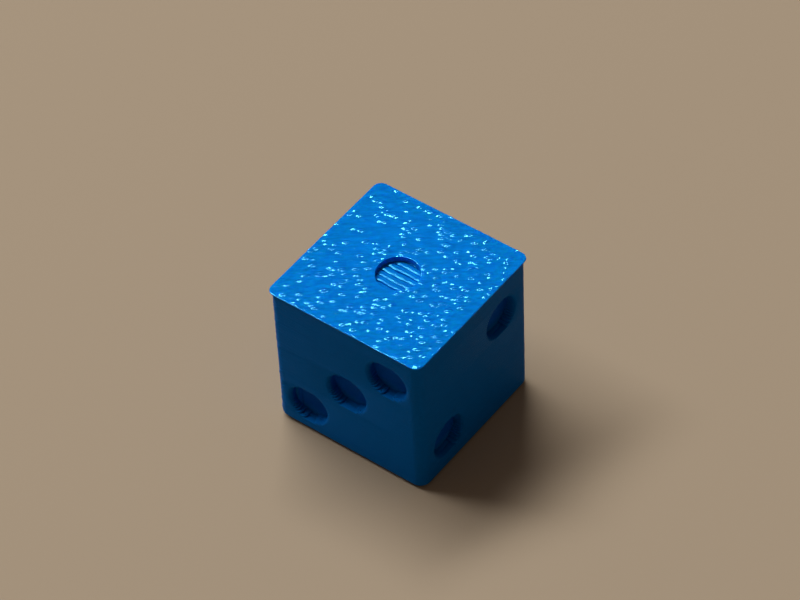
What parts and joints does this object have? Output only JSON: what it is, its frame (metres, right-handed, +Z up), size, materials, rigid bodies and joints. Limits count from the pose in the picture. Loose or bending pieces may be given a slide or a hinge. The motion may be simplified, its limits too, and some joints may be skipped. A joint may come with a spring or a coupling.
{
  "type": "die",
  "caption": "Blue plastic cube with round pockets as pips, printed in lines, with sharp flat ends, rounded upright edges and a thin lip round the face of the one.",
  "frame": {"origin": "middle of the face of the six, which the die stands on", "axes": "+Z up through the face of the one, which was printed first; -Y is the three, +X the two, +Y the four and -X the five"},
  "size_m": [0.0162, 0.0162, 0.016],
  "materials": {
    "bed_face": "blue PLA cast against a powder-coated print bed: glossy, with a fine pebble grain",
    "strands": "blue PLA strands drawn free in air: smooth and glossy",
    "walls": "blue PLA in stacked lines: satin to glossy, ribbed by its layers",
    "inside": "blue PLA in stacked lines, sealed inside"
  },
  "bodies": {
    "root": {"bed_layer_outer_loop": "bed_face", "bed_layer_inner_loop": "bed_face", "bed_layer_fill": "bed_face", "bed_skin": "inside", "pip_one_rim_loop": "bed_face", "pip_one_second_loop": "bed_face", "pip_one_strands": "strands", "pip_one_backing": "inside", "outer_wall": "walls", "inner_wall": "inside", "infill_grid": "inside", "pip_six_floors": "inside", "pip_six_loops": "walls", "closing_skin": "inside", "closing_layer": "walls"}
  },
  "joints": []
}
